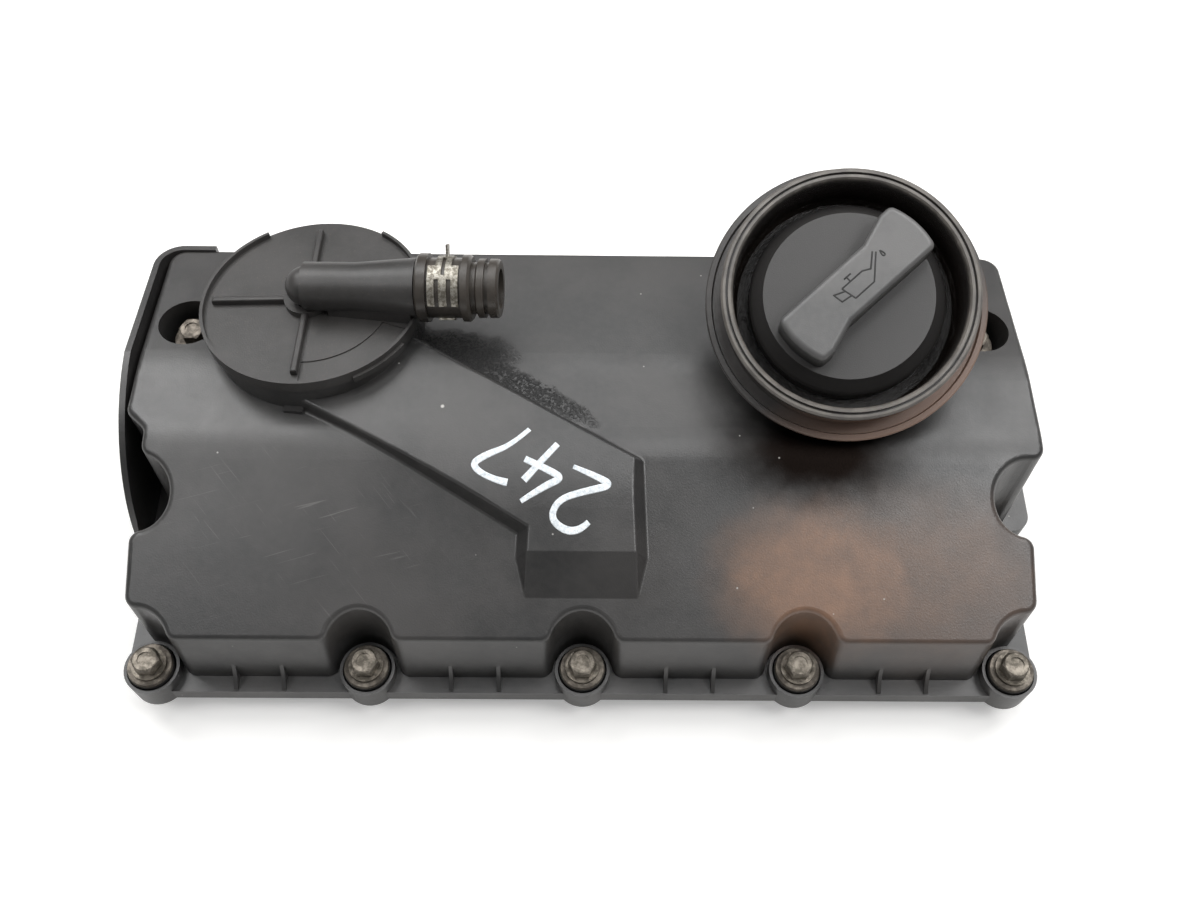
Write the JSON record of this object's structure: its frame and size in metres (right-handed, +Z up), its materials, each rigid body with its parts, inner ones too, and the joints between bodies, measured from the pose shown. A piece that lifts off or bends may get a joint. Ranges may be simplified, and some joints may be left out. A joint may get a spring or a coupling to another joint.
{
  "type": "engine valve cover",
  "caption": "Moulded valve cover with flanged foot, row of bolt cups, raised breather duct, round breather valve with hose coupling and tilted screw filler cap in a collar.",
  "frame": {"origin": "centre of the rectangle of the four outer head bolts next to the corners, on the cover's sealing plane", "axes": "+X along the front bolt row to the filler end, +Y to the rear, +Z up, away from the cylinder head"},
  "size_m": [0.397, 0.2174, 0.1456],
  "materials": {
    "nylon_cover": "moulded glass-filled nylon, satin black",
    "nylon_vent": "moulded nylon, matt black",
    "nylon_coupling": "moulded nylon, satin black",
    "nylon_collar": "moulded nylon, oily satin",
    "nylon_cap": "fine-grained nylon, matt black",
    "nylon_inner": "moulded nylon, bare",
    "seal_rubber": "moulded seal rubber",
    "diaphragm_rubber": "thin moulded rubber",
    "grommet_rubber": "moulded bush rubber",
    "spring_steel": "drawn spring wire",
    "zinc_steel": "worn zinc plate",
    "bolt_steel": "dull brown-grey steel",
    "washer_steel": "dull pressed steel"
  },
  "bodies": {
    "cover": {"cover_shell": "nylon_cover", "filler_neck": "nylon_cover", "cover_gasket": "seal_rubber", "separator_plate": "nylon_inner", "vent_cap": "nylon_vent", "vent_diaphragm": "diaphragm_rubber", "vent_spring": "spring_steel", "breather_coupling": "nylon_coupling", "coupling_o_ring": "seal_rubber", "coupling_clip": "zinc_steel", "filler_collar": "nylon_collar", "flange_bolts": "bolt_steel", "pocket_bolts": "bolt_steel", "bolt_washers": "washer_steel", "bolt_grommets": "grommet_rubber", "bolt_sleeves": "bolt_steel"},
    "cap_carrier": {"cap_seal": "seal_rubber"},
    "cap": {"filler_cap": "nylon_cap", "cap_insert": "nylon_inner"},
    "valve": {"diaphragm_plate": "nylon_inner"}
  },
  "joints": [
    {"name": "cap_lift", "type": "slide", "parent": "cover", "child": "cap_carrier", "axis": [-0.085, -0.3682, 0.9259], "range_m": [0, 0.09]},
    {"name": "cap_turn", "type": "hinge", "parent": "cap_carrier", "child": "cap", "pos_m": [0.1035, 0.0224, 0.112], "axis": [-0.085, -0.3682, 0.9259], "range_deg": [0, 90]},
    {"name": "valve_stroke", "type": "slide", "parent": "cover", "child": "valve", "axis": [-0.0457, 0.113, 0.9925], "range_m": [0, 0.0035], "stiffness_N_per_m": 180, "deforming": ["vent_spring", "vent_diaphragm"]}
  ]
}
